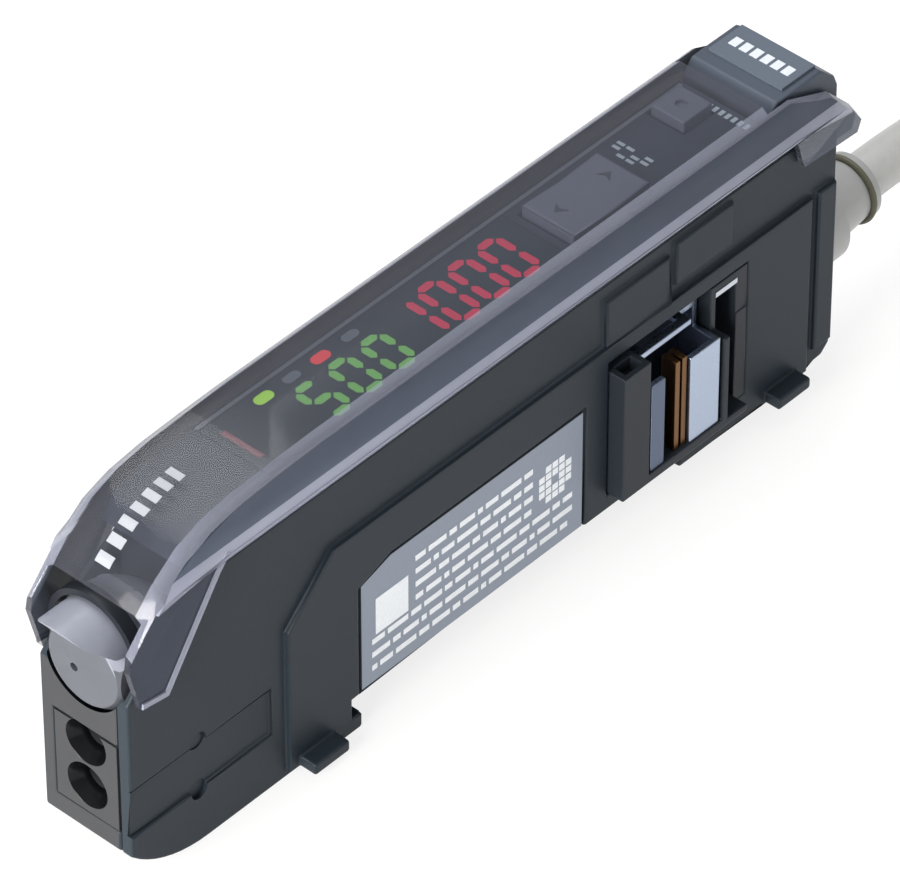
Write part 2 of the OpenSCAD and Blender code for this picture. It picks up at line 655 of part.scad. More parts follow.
// Eight-sided tube swept along a list of points
function unit(v) = v / norm(v);
function heading(p, i) = unit(p[min(i + 1, len(p) - 1)] - p[max(i - 1, 0)]);
function ring(p, i, r, n) = let (t = heading(p, i), s = unit(cross(t, [0, 0, 1])), u = cross(s, t))
  [for (k = [0:n - 1]) p[i] + r * (cos(360 * k / n) * s + sin(360 * k / n) * u)];
module sweep(p, r, n) polyhedron(
  points = [for (i = [0:len(p) - 1]) each ring(p, i, r, n)],
  faces = concat([[for (k = [0:n - 1]) k]], [[for (k = [n - 1:-1:0]) (len(p) - 1) * n + k]],
    [for (i = [0:len(p) - 2], k = [0:n - 1])
      [i * n + k, (i + 1) * n + k, (i + 1) * n + (k + 1) % n, i * n + (k + 1) % n]]));

module cable() color("#a6a6a4") placed() translate([case_len + boot_len, 0, cable_z])
  sweep(route, cable_d / 2, 8);

// Plan of the hank, out to a given radius
module hank_plan(r) {
  for (x = [0, hank_run]) translate([x, 0]) circle(r = r);
  translate([0, -r]) square([hank_run, 2 * r]);
}

module cable_coil() color("#a6a6a4") placed() translate([hank_x, hank_y, tie_t])
  linear_extrude(hank_h) difference() {
    hank_plan(hank_r);
    hank_plan(hank_bend - cable_d / 2);
  }

module coil_tie() color("#30343a") placed() difference() {
  block(tie_x, tie_x + tie_w, hank_y - hank_r - tie_t, hank_y + hank_r + tie_t, 0, hank_h + 2 * tie_t);
  block(tie_x - 1, tie_x + tie_w + 1, hank_y - hank_r - seam, hank_y + hank_r + seam,
    tie_t - pin_play, hank_h + tie_t + pin_play);
}

module lead_wires() color("#6a5a4a") placed() for (i = [1:lead_n])
  x_rod(hank_y + hank_r - i * lead_pitch - lead_d / 2, tie_t + hank_h + lead_d / 2, lead_d / 2,
    hank_x, hank_x + lead_len);

main_case();
side_cover();
rating_label();
fibre_holder();
emitter_led();
receiver_photodiode();
fibre_lock_lever();
lever_arch();
lever_pin();
top_panel();
display_window();
green_display();
red_display();
indicator_lamps();
up_down_rocker();
rocker_pin();
set_key();
push_switches();
panel_board();
main_board();
rear_block();
tag_plate();
dust_cover();
cover_pin();
plug_housing();
plug_shell();
plug_contacts();
socket_housing();
socket_contacts();
cable_boot();
cable();
cable_coil();
coil_tie();
lead_wires();
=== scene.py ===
"""Finishes the fibre optic sensor amplifier: surfaces, print, lit digits, cable and studio."""

import json
import math
from types import SimpleNamespace

import bmesh
import bpy
from bpy.props import FloatProperty, FloatVectorProperty, PointerProperty
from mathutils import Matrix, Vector
from mathutils.bvhtree import BVHTree


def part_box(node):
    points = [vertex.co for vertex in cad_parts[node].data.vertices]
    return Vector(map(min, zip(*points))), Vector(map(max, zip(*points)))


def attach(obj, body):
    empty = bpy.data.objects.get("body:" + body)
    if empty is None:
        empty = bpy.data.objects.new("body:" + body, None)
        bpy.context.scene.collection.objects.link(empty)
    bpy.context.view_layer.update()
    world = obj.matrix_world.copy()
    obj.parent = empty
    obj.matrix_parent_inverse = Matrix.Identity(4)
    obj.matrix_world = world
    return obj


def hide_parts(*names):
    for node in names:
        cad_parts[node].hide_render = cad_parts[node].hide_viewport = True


bl_info = {
    "name": "Sensor Amplifier Finish",
    "version": (1, 0, 0),
    "blender": (4, 5, 0),
    "location": "View3D > Sidebar > Amplifier",
    "description": "Dresses the packed fibre optic sensor amplifier",
    "category": "Object",
}

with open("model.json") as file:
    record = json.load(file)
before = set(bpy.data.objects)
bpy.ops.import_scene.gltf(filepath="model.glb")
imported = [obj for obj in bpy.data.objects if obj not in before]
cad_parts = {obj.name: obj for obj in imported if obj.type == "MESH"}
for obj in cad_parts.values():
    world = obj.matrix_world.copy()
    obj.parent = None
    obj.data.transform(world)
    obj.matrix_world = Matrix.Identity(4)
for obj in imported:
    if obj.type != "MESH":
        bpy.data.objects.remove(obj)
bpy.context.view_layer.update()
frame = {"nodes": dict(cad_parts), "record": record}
NODES = frame["nodes"]
BODY_OF = {n: b for b, ns in frame["record"]["behaviour"]["bodies"].items() for n in ns}
SLOT_OF = {s["node"]: s["material_slot"] for s in frame["record"]["subparts"]}
MM = 0.001
FACE_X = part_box("main_case")[0].x / MM
RIGHT = Vector((1, 0, 0))
ACROSS = Vector((0, 1, 0))
UP = Vector((0, 0, 1))


def srgb(r, g, b):
    """Linear colour of an 8-bit screen colour."""
    def lin(c):
        c /= 255
        return c / 12.92 if c <= 0.04045 else ((c + 0.055) / 1.055) ** 2.4

    return (lin(r), lin(g), lin(b), 1.0)


def at(x, y, z):
    """Point in metres from millimetres measured back from the fibre face."""
    return Vector(((x + FACE_X) * MM, y * MM, z * MM))


# Shader writing

class Wire:
    """Output socket that takes part in arithmetic by adding Math nodes."""

    def __init__(self, paint, socket):
        self.paint = paint
        self.socket = socket

    def _math(self, operation, a, b):
        return self.paint.node("ShaderNodeMath", {"operation": operation}, {0: a, 1: b})

    def __add__(self, other):
        return self._math("ADD", self, other)

    def __sub__(self, other):
        return self._math("SUBTRACT", self, other)

    def __rsub__(self, other):
        return self._math("SUBTRACT", other, self)

    def __mul__(self, other):
        return self._math("MULTIPLY", self, other)

    __radd__ = __add__
    __rmul__ = __mul__


class Paint:
    """One material and the nodes that feed its shader."""

    def __init__(self, name):
        self.material = bpy.data.materials.new(name)
        self.material.use_nodes = True
        self.tree = self.material.node_tree
        self.shader = self.tree.nodes["Principled BSDF"]

    def feed(self, socket, value):
        """Links a wire to a socket or sets its value."""
        if isinstance(value, Wire):
            self.tree.links.new(value.socket, socket)
        else:
            socket.default_value = value

    def node(self, kind, settings=None, inputs=None, output=0):
        """Adds a node: its settings first, then the values or links of its sockets."""
        made = self.tree.nodes.new(kind)
        for key, value in (settings or {}).items():
            setattr(made, key, value)
        for key, value in (inputs or {}).items():
            self.feed(made.inputs[key], value)
        return Wire(self, made.outputs[output])

    def surface(self, inputs):
        """Feeds the material's own shader."""
        for key, value in inputs.items():
            self.feed(self.shader.inputs[key], value)
        return self.material

    def place(self, stretch=(1, 1, 1)):
        """Object coordinates in millimetres, stretched along each axis."""
        point = self.node("ShaderNodeTexCoord", output=3)
        scale = tuple(s / MM for s in stretch)
        return self.node("ShaderNodeVectorMath", {"operation": "MULTIPLY"}, {0: point, 1: scale})

    def noise(self, scale, detail=2.0, stretch=(1, 1, 1)):
        return self.node("ShaderNodeTexNoise", {}, {
            "Vector": self.place(stretch), "Scale": scale, "Detail": detail})

    def blend(self, factor, first, second):
        """Colour between two colours."""
        return self.node("ShaderNodeMix", {"data_type": "RGBA"}, {0: factor, 6: first, 7: second}, 2)

    def bump(self, height, strength, depth):
        return self.node("ShaderNodeBump", {}, {
            "Height": height, "Strength": strength, "Distance": depth * MM})


def shade(colour, factor):
    """The same colour, darker or lighter."""
    return tuple(c * factor for c in colour[:3]) + (1.0,)


def moulded(name, colour, rough, grain=0.12, grain_size=7.0, gloss=0.18):
    """Moulded plastic with a spark-eroded grain and faint flow marks."""
    p = Paint(name)
    flow = p.noise(0.12, 3.0, (0.4, 1, 1))
    fine = p.noise(grain_size, 2.0)
    return p.surface({
        "Base Color": p.blend(flow, shade(colour, 0.86), shade(colour, 1.12)),
        "Roughness": fine * 0.16 + (rough - 0.08) + flow * 0.05,
        "Normal": p.bump(fine, grain, 0.02),
        "Specular IOR Level": gloss,
    })


def smoked(name, colour, opacity, rim, gloss=0.4):
    """Clear tinted plastic, denser at glancing angles."""
    p = Paint(name)
    edge = p.node("ShaderNodeLayerWeight", {}, {"Blend": 0.35}, 1)
    haze = p.noise(0.35, 3.0)
    return p.surface({
        "Base Color": p.blend(haze, shade(colour, 0.92), shade(colour, 1.08)),
        "Roughness": haze * 0.06 + 0.1,
        "Alpha": edge * rim + opacity,
        "Specular IOR Level": gloss,
    })


def milky(name, colour):
    """Cloudy clear plastic of the lock lever."""
    p = Paint(name)
    cloud = p.noise(0.5, 3.0)
    return p.surface({
        "Base Color": p.blend(cloud, shade(colour, 0.88), shade(colour, 1.1)),
        "Roughness": cloud * 0.12 + 0.4,
        "Subsurface Weight": 0.25,
        "Subsurface Radius": (0.6 * MM, 0.6 * MM, 0.7 * MM),
        "Coat Weight": cloud * 0.2,
        "Specular IOR Level": 0.4,
    })


def plated(name, colour, rough, stretch):
    """Plated sheet metal with drawn streaks."""
    p = Paint(name)
    streak = p.noise(4.0, 3.0, stretch)
    return p.surface({
        "Base Color": p.blend(streak, shade(colour, 0.82), shade(colour, 1.1)),
        "Metallic": 1.0,
        "Roughness": streak * 0.2 + (rough - 0.1),
        "Normal": p.bump(streak, 0.2, 0.01),
    })


def rubbery(name, colour, rough=0.55, grain=0.3):
    """Soft matt plastic or rubber with a faint mottle."""
    p = Paint(name)
    mottle = p.noise(1.1, 4.0)
    fine = p.noise(12.0, 2.0)
    return p.surface({
        "Base Color": p.blend(mottle, shade(colour, 0.9), shade(colour, 1.08)),
        "Roughness": fine * 0.14 + (rough - 0.07),
        "Normal": p.bump(fine, grain, 0.015),
    })


def printed(name, colour):
    """Ink of the markings, a little uneven."""
    p = Paint(name)
    wear = p.noise(6.0, 3.0)
    return p.surface({
        "Base Color": p.blend(wear, shade(colour, 0.78), colour),
        "Roughness": wear * 0.2 + 0.45,
    })


def glowing(name, colour, strength):
    """Lit segment or lamp with a slightly uneven glow."""
    p = Paint(name)
    grain = p.noise(3.0, 2.0)
    return p.surface({
        "Base Color": shade(colour, 0.3),
        "Roughness": 0.4,
        "Emission Color": p.blend(grain, shade(colour, 0.72), colour),
        "Emission Strength": strength,
    })


def boarded(name, colour):
    """Solder mask over copper tracks."""
    p = Paint(name)
    tracks = p.node("ShaderNodeTexBrick", {"offset": 0.5}, {
        "Vector": p.place(), "Scale": 0.5, "Color1": shade(colour, 1.25),
        "Color2": colour, "Mortar": shade(colour, 0.7), "Mortar Size": 0.06})
    return p.surface({"Base Color": tracks, "Roughness": p.noise(2.0) * 0.1 + 0.3})


# Mesh making

def piece(name, mesh, body, slot, *nodes):
    """Links a mesh, rides it on its body and lets it stand for its solids."""
    made = bpy.data.objects.new(name, mesh)
    bpy.context.scene.collection.objects.link(made)
    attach(made, body)
    if nodes:
        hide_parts(*nodes)
    return made


def mesh_of(name, work, *materials):
    """Mesh with its materials from a finished bmesh."""
    mesh = bpy.data.meshes.new(name)
    work.to_mesh(mesh)
    work.free()
    for material in materials:
        mesh.materials.append(material)
    return mesh


# Angles in degrees: a sharp edge in shading, an edge to round, a wall that a rounding may follow
SHARP = 32
TO_ROUND = 28
FOLLOWS = 60
# A rounded edge is at least this many roundings long
LEAST_LENGTH = 3.2
ROUNDNESS = 0.6
# Points this near in millimetres become one, and faces this near in degrees become one
WELD = 0.002
FLAT = 0.6


def smooth(mesh):
    """Smooth shading with sharp edges kept."""
    mesh.shade_smooth()
    mesh.set_sharp_from_angle(angle=math.radians(SHARP))


def sharp_edges(work, shortest):
    """Edges between faces that meet at a clear angle."""
    return [e for e in work.edges if len(e.link_faces) == 2 and e.calc_length() > shortest
            and e.calc_face_angle(0) > math.radians(TO_ROUND)]


def rounded(work, edges, radius, segments):
    """Bevels the edges and marks the new faces."""
    mark = work.faces.layers.int.new("rounded")
    made = bmesh.ops.bevel(work, geom=edges, offset=radius * MM, segments=segments, profile=ROUNDNESS,
                           affect="EDGES", clamp_overlap=False, loop_slide=True)
    for face in made["faces"]:
        face[mark] = 1


def settle(mesh):
    """Corner normals that keep walls flat up to the start of each rounding."""
    curved = [mark.value for mark in mesh.attributes["rounded"].data]
    walls = [[] for vertex in mesh.vertices]
    for face in mesh.polygons:
        if not curved[face.index]:
            for v in face.vertices:
                walls[v].append((face.normal.copy(), face.area))
    normals = [corner.vector.copy() for corner in mesh.corner_normals]
    for face in mesh.polygons:
        reach = math.cos(math.radians(FOLLOWS if curved[face.index] else SHARP))
        for corner in face.loop_indices:
            near = [n * area for n, area in walls[mesh.loops[corner].vertex_index]
                    if n.dot(face.normal) > reach]
            if near:
                normals[corner] = sum(near, Vector()).normalized()
    mesh.normals_split_custom_set(normals)


def softened(node, materials, radius, segments=2, shape=None, pick=None):
    """Copy of a solid with its sharp edges rounded, which stands for that solid.

    shape changes the mesh before the rounding; pick gives a face its material's number."""
    work = bmesh.new()
    work.from_mesh(NODES[node].data)
    bmesh.ops.remove_doubles(work, verts=work.verts, dist=WELD * MM)
    bmesh.ops.dissolve_limit(work, angle_limit=math.radians(FLAT), verts=work.verts, edges=work.edges)
    if shape:
        shape(work)
    if radius:
        rounded(work, sharp_edges(work, LEAST_LENGTH * radius * MM), radius, segments)
    bmesh.ops.triangulate(work, faces=[f for f in work.faces if len(f.verts) > 4])
    work.normal_update()
    if pick:
        for face in work.faces:
            face.material_index = pick(face.normal, face.calc_center_median() / MM)
    name = node + "_finish"
    mesh = mesh_of(name, work, *materials)
    smooth(mesh)
    if radius:
        settle(mesh)
    return piece(name, mesh, BODY_OF[node], SLOT_OF[node], node)


def painted(node, material):
    """A solid whose shape is right keeps it and takes a finish."""
    solid = NODES[node]
    solid.data.materials.clear()
    solid.data.materials.append(material)


def plates(name, outlines, node, origin, right, up, rise, material):
    """Thin raised plates on a solid: each outline is a list of (right, up) points in millimetres."""
    work = bmesh.new()
    out = right.cross(up).normalized()
    for outline in outlines:
        low = [work.verts.new(origin + right * (u * MM) + up * (v * MM)) for u, v in outline]
        high = [work.verts.new(v.co + out * (rise * MM)) for v in low]
        work.faces.new(high)
        work.faces.new(low[::-1])
        for i, corner in enumerate(low):
            j = (i + 1) % len(low)
            work.faces.new((corner, low[j], high[j], high[i]))
    bmesh.ops.recalc_face_normals(work, faces=work.faces)
    return piece(name, mesh_of(name, work, material), BODY_OF[node], SLOT_OF[node])


def wrapped(name, bars, node, rise, material, steps=6):
    """Thin bars bent over a solid's curved top: each bar is (x, y, x, y) from the fibre face."""
    skin = bmesh.new()
    skin.from_mesh(NODES[node].data)
    tree = BVHTree.FromBMesh(skin)
    skin.free()
    work = bmesh.new()
    for x0, y0, x1, y1 in bars:
        rings = []
        for i in range(steps + 1):
            x = x0 + (x1 - x0) * i / steps
            hits = [tree.ray_cast(at(x, y, 0) + UP, -UP)[:2] for y in (y0, y1)]
            low = [spot for spot, normal in hits]
            high = [spot + normal * (rise * MM) for spot, normal in hits]
            rings.append([work.verts.new(spot) for spot in low + high[::-1]])
        for a, b in zip(rings, rings[1:]):
            for i in range(4):
                work.faces.new((a[i - 1], a[i], b[i], b[i - 1]))
        work.faces.new(rings[0])
        work.faces.new(rings[-1])
    bmesh.ops.recalc_face_normals(work, faces=work.faces)
    return piece(name, mesh_of(name, work, material), BODY_OF[node], SLOT_OF[node])


def bar(u0, v0, u1, v1):
    """Outline of a rectangle between two corners."""
    return [(u0, v0), (u1, v0), (u1, v1), (u0, v1)]


def pill(u, v, length, width, steps=6):
    """Bar with round ends, along the first direction."""
    r = width / 2
    half = length / 2 - r
    turn = [math.pi * i / steps - math.pi / 2 for i in range(steps + 1)]
    right = [(u + half + r * math.cos(a), v + r * math.sin(a)) for a in turn]
    left = [(u - half - r * math.cos(a), v - r * math.sin(a)) for a in turn]
    return right + left


SEGMENTS = {"0": "abcdef", "1": "bc", "5": "acdfg"}
# Space between two segments, as a share of their width
SEGMENT_GAP = 0.2


def digit(glyph, u, v, width, height, stroke):
    """Bars of a seven-segment figure centred on (u, v)."""
    w, h, s = width / 2, height / 2, stroke / 2
    gap = stroke * SEGMENT_GAP

    def level(y):
        return [(u - w + gap, v + y), (u - w + gap + s, v + y + s), (u + w - gap - s, v + y + s),
                (u + w - gap, v + y), (u + w - gap - s, v + y - s), (u - w + gap + s, v + y - s)]

    def upright(x, y0, y1):
        return [(u + x, v + y0 + gap), (u + x + s, v + y0 + gap + s), (u + x + s, v + y1 - gap - s),
                (u + x, v + y1 - gap), (u + x - s, v + y1 - gap - s), (u + x - s, v + y0 + gap + s)]

    shapes = {"a": level(h), "g": level(0), "d": level(-h), "b": upright(w, 0, h), "c": upright(w, -h, 0),
              "f": upright(-w, 0, h), "e": upright(-w, -h, 0)}
    return [shapes[k] for k in SEGMENTS[glyph]]


# Settings

def measure(name, description, size):
    """Property that holds a length, given in millimetres."""
    return FloatProperty(name=name, description=description, subtype="DISTANCE", default=size * MM)


def tint(name, description, *screen):
    """Property that holds a colour, given as a screen colour."""
    return FloatVectorProperty(name=name, description=description, subtype="COLOR", size=4,
                               default=srgb(*screen))


class AmplifierSizes(bpy.types.PropertyGroup):
    """Sizes of what this script adds."""
    case_edge: measure("Case edge", "Rounding of the case's edges", 0.22)
    facet_w: measure("Facet width", "Width of the sloping margin of the roof", 0.8)
    facet_drop: measure("Facet drop", "Fall of that margin", 0.6)
    print_rise: measure("Print", "Thickness of the printed markings", 0.02)
    digit_w: measure("Digit width", "Width of a lit figure", 1.9)
    green_h: measure("Green height", "Height of the green figures", 3.6)
    red_h: measure("Red height", "Height of the red figures", 4.4)
    stroke: measure("Stroke", "Width of a lit segment", 0.66)
    cable_d: measure("Cable", "Diameter of the cable", 4.0)
    cable_len: measure("Cable length", "Length of the jacketed cable", 1956.0)


class AmplifierColours(bpy.types.PropertyGroup):
    """Colours of the finishes."""
    case: tint("Case", "Moulded case", 32, 40, 47)
    panel: tint("Panel", "Key panel", 48, 58, 71)
    cover: tint("Cover", "Smoked cover", 140, 144, 160)
    window: tint("Window", "Display window", 38, 50, 58)
    lever: tint("Lever", "Lock lever", 116, 120, 131)
    keys: tint("Keys", "Rocker and set key", 98, 106, 124)
    label: tint("Label", "Side label", 148, 156, 168)
    ink: tint("Ink", "Pale print", 222, 226, 230)
    green: tint("Green", "Green figures", 110, 182, 84)
    red: tint("Red", "Red figures", 206, 24, 72)
    cable: tint("Cable", "Cable jacket", 172, 172, 170)


class Piece:
    """What every operator here shares."""
    bl_options = {"REGISTER"}

    @staticmethod
    def settings():
        """The user's sizes, in millimetres, and colours."""
        scene = bpy.context.scene
        names = AmplifierSizes.__annotations__
        sizes = {name: round(getattr(scene.amplifier_sizes, name) / MM, 4) for name in names}
        return SimpleNamespace(**sizes), scene.amplifier_colours


# Stage and cable come first

class AMPLIFIER_OT_stage(Piece, bpy.types.Operator):
    """Adds the floor, the lamps and the camera"""
    bl_idname = "amplifier.stage"
    bl_label = "Stage"

    AZIMUTH = -47.7
    ELEVATION = 41.7
    CAMERA_MM = (-279.58, -288.6, 396.71)
    FOCAL_PX = 8000
    IMAGE_W_PX = 900
    SENSOR_MM = 36.0
    # Distances in metres: the farthest that the camera sees and half the floor's side
    FAR = 10
    FLOOR_HALF = 3.0
    # Room between the floor and what stands on it, so that their faces don't coincide
    FLOOR_GAP_MM = 0.02
    FLOOR_GREY = (0.9, 0.9, 0.9, 1)
    FLOOR_GLOW = 0.8
    WHITE = (1, 1, 1)
    # Each lamp's place and size in metres, its power in watts and its colour
    LAMPS = (("front_softbox", (-0.5, -0.02, 0.2), 0.3, 7.0, (1.0, 0.97, 0.94)),
             ("top_softbox", (0.05, 0.2, 0.6), 0.5, 4.2, WHITE),
             ("side_fill", (0.15, -0.6, 0.25), 0.4, 0.6, WHITE))
    # Point that the lamps face, from the fibre face
    AIM_MM = (35, 0, 15)
    SKY = 0.36

    def execute(self, context):
        scene = context.scene
        scene.view_settings.view_transform = "Standard"
        self.camera(scene)
        self.floor(scene)
        self.lamps(scene)
        self.world(scene)
        return {"FINISHED"}

    def camera(self, scene):
        """Long lens that looks at the part from above its front corner."""
        data = bpy.data.cameras.new("camera")
        data.sensor_width = self.SENSOR_MM
        data.lens = self.SENSOR_MM * self.FOCAL_PX / self.IMAGE_W_PX
        data.clip_end = self.FAR
        cam = bpy.data.objects.new("camera", data)
        scene.collection.objects.link(cam)
        cam.location = at(*self.CAMERA_MM)
        az, el = math.radians(self.AZIMUTH), math.radians(self.ELEVATION)
        back = Vector((math.sin(az) * math.cos(el), -math.cos(az) * math.cos(el), math.sin(el)))
        cam.rotation_euler = back.to_track_quat("Z", "Y").to_euler()
        scene.camera = cam

    def floor(self, scene):
        """Wide level floor just under the part."""
        work = bmesh.new()
        bmesh.ops.create_grid(work, x_segments=2, y_segments=2, size=self.FLOOR_HALF)
        ground = bpy.data.objects.new("floor", mesh_of("floor", work, self.floor_paint()))
        ground.location.z = -self.FLOOR_GAP_MM * MM
        scene.collection.objects.link(ground)

    def floor_paint(self):
        """Pale floor that the camera, glossy surfaces and clear ones see as nearly white."""
        p = Paint("pale_floor")
        p.surface({"Base Color": self.FLOOR_GREY, "Roughness": 0.9, "Specular IOR Level": 0.1})
        glow = p.node("ShaderNodeEmission", {}, {"Color": (*self.WHITE, 1), "Strength": 1.0})
        seen = p.node("ShaderNodeLightPath", output=0)
        glossy = p.node("ShaderNodeLightPath", output=3)
        through = p.node("ShaderNodeLightPath", output=6)
        bare = (1 - seen) * (1 - glossy) * (1 - through)
        matt = Wire(p, p.shader.outputs[0])
        mixed = p.node("ShaderNodeMixShader", {}, {0: (1 - bare) * self.FLOOR_GLOW, 1: matt, 2: glow})
        p.feed(p.tree.nodes["Material Output"].inputs["Surface"], mixed)
        return p.material

    def lamps(self, scene):
        """Soft lamps that face the part."""
        middle = at(*self.AIM_MM)
        for name, place, size, watts, colour in self.LAMPS:
            data = bpy.data.lights.new(name, "AREA")
            data.color = colour
            data.size = size
            data.energy = watts
            lamp = bpy.data.objects.new(name, data)
            scene.collection.objects.link(lamp)
            lamp.location = place
            lamp.rotation_euler = (Vector(place) - middle).to_track_quat("Z", "Y").to_euler()

    def world(self, scene):
        """Even white light from all round."""
        world = bpy.data.worlds.new("studio")
        world.use_nodes = True
        background = world.node_tree.nodes["Background"]
        background.inputs["Color"].default_value = (*self.WHITE, 1)
        background.inputs["Strength"].default_value = self.SKY
        scene.world = world


class AMPLIFIER_OT_cable(Piece, bpy.types.Operator):
    """Runs the cable out of its boot and winds the rest into a tied hank"""
    bl_idname = "amplifier.cable"
    bl_label = "Cable"

    # Loose stretch from the boot to the hank, the same points as the solid tube
    ROUTE = ((0, 0, 0), (4, 0, 0), (8, 0.1, -0.4), (12, 0.4, -1.7), (16, 1, -4.2), (20, 1.8, -6.7),
             (24, 2.6, -8), (28, 3.4, -8.4), (33, 4, -8.4), (41, 4, -8.4))
    ARC_POINTS = 16
    # Columns of the turns in each layer, counted inwards from the outermost
    LAYERS = ((0, 1), (1, 0), (0, 1), (1, 0), (0, 1), (1, 0))
    TIE = srgb(40, 42, 46)
    # Leads: bare end, how much shorter the last is, spread in cable diameters, copper's share of the width
    STRIPPED = 5.0
    STAGGER = 2.0
    SPREAD = 0.6
    CORE = 0.55
    LEADS = (srgb(122, 72, 40), srgb(40, 88, 168), srgb(34, 36, 38), srgb(206, 204, 198))
    COPPER = srgb(196, 128, 84)
    # Shares of a lead's way at which it drops and lies low, of the drop by then, and of the swing sideways
    DROP_AT, LOW_AT = 0.25, 0.5
    DROP, SWING = 0.5, 0.35

    def execute(self, context):
        sizes, colours = self.settings()
        d = sizes.cable_d
        boot_lo, boot_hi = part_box("cable_boot")
        mouth = Vector((boot_hi.x, 0, (boot_lo.z + boot_hi.z) / 2))
        route = [mouth + Vector(p) * MM for p in self.loose()] + self.hank(d)
        path = self.cut(route, sizes.cable_len * MM)
        jacket = rubbery("cable_jacket", colours.cable, rough=0.42, grain=0.12)
        cord = self.strand("cable_finish", path, d / 2, jacket)
        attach(cord, "case")
        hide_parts("cable", "cable_coil")
        painted("coil_tie", moulded("tie_nylon", self.TIE, rough=0.5))
        leads = self.leads(path, d)
        return {"FINISHED"}

    def loose(self, steps=4):
        """Smooth points through the route."""
        p = [Vector(q) for q in self.ROUTE]
        found = []
        for i in range(len(p) - 1):
            before, after = p[max(i - 1, 0)], p[min(i + 2, len(p) - 1)]
            for k in range(steps):
                t = k / steps
                found.append(0.5 * (2 * p[i] + (p[i + 1] - before) * t
                                    + (2 * before - 5 * p[i] + 4 * p[i + 1] - after) * t * t
                                    + (3 * p[i] - before - 3 * p[i + 1] + after) * t ** 3))
        return found

    def hank(self, d):
        """Turns with straight sides and round ends, laid side by side and layer on layer."""
        lo, hi = (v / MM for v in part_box("cable_coil"))
        outer = (hi.y - lo.y) / 2
        left, right, mid = lo.x + outer, hi.x - outer, (lo.y + hi.y) / 2
        turns = [(outer - d / 2 - column * d, lo.z + d / 2 + level * d)
                 for level, layer in enumerate(self.LAYERS) for column in layer]
        arc = [math.pi * k / self.ARC_POINTS for k in range(self.ARC_POINTS + 1)]
        points = []
        for (r, z), (r2, z2) in zip(turns, turns[1:] + turns[-1:]):
            points += [(right + r * math.sin(a), mid + r * math.cos(a), z) for a in arc]
            for a in arc:
                t = a / math.pi
                t = t * t * (3 - 2 * t)
                reach = r + (r2 - r) * t
                points.append((left - reach * math.sin(a), mid - reach * math.cos(a), z + (z2 - z) * t))
        return [Vector(p) * MM for p in points]

    def cut(self, points, length):
        """The first stretch of a line, as long as asked."""
        kept = [points[0]]
        left = length
        for a, b in zip(points, points[1:]):
            run = (b - a).length
            if run >= left:
                kept.append(a + (b - a) * (left / run))
                return kept
            kept.append(b)
            left -= run
        raise RuntimeError(f"the cable's route is {left / MM:.0f} mm too short")

    def strand(self, name, points, radius, material):
        """Round wire along a line."""
        data = bpy.data.curves.new(name, "CURVE")
        data.dimensions = "3D"
        data.bevel_depth = radius * MM
        data.bevel_resolution = 5
        data.use_fill_caps = True
        line = data.splines.new("POLY")
        line.points.add(len(points) - 1)
        for spot, p in zip(line.points, points):
            spot.co = (*p, 1)
        line.use_smooth = True
        data.materials.append(material)
        made = bpy.data.objects.new(name, data)
        bpy.context.scene.collection.objects.link(made)
        return made

    def leads(self, path, d):
        """Insulated leads that fan out of the jacket's end and lie on the hank, with bare copper tips."""
        lo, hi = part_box("lead_wires")
        thick = (hi.z - lo.z) / 2 / MM
        first, last = lo.y + thick * MM, hi.y - thick * MM
        level = (lo.z + hi.z) / 2
        end = path[-1]
        copper = plated("stripped_copper", self.COPPER, rough=0.35, stretch=(1, 6, 6))
        made = []
        for i, colour in enumerate(self.LEADS):
            share = i / (len(self.LEADS) - 1)
            y = first + (last - first) * share
            start = end + ACROSS * ((share - 0.5) * self.SPREAD * d * MM)
            stop = Vector((hi.x - (self.STRIPPED + share * self.STAGGER) * MM, y, level))
            jacket = rubbery(f"lead_jacket_{i + 1}", colour, rough=0.4)
            wire = self.strand(f"lead_{i + 1}", self.bend(start, stop), thick, jacket)
            core = self.strand(f"lead_core_{i + 1}", [stop, stop + RIGHT * (self.STRIPPED * MM)],
                               thick * self.CORE, copper)
            for part in (wire, core):
                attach(part, "case")
                made.append(part)
        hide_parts("lead_wires")
        return made

    def bend(self, start, stop):
        """Line of a lead that leaves the jacket straight, drops to its level and swings out to its place."""
        drop, low = start.lerp(stop, self.DROP_AT), start.lerp(stop, self.LOW_AT)
        drop.z += (stop.z - start.z) * self.DROP
        low.z = stop.z
        low.y += (stop.y - start.y) * self.SWING
        beside = low.lerp(stop, 0.5)
        beside.y = stop.y
        return [start - RIGHT * MM, start + RIGHT * MM, drop, low, beside, stop]


# Rigid pieces

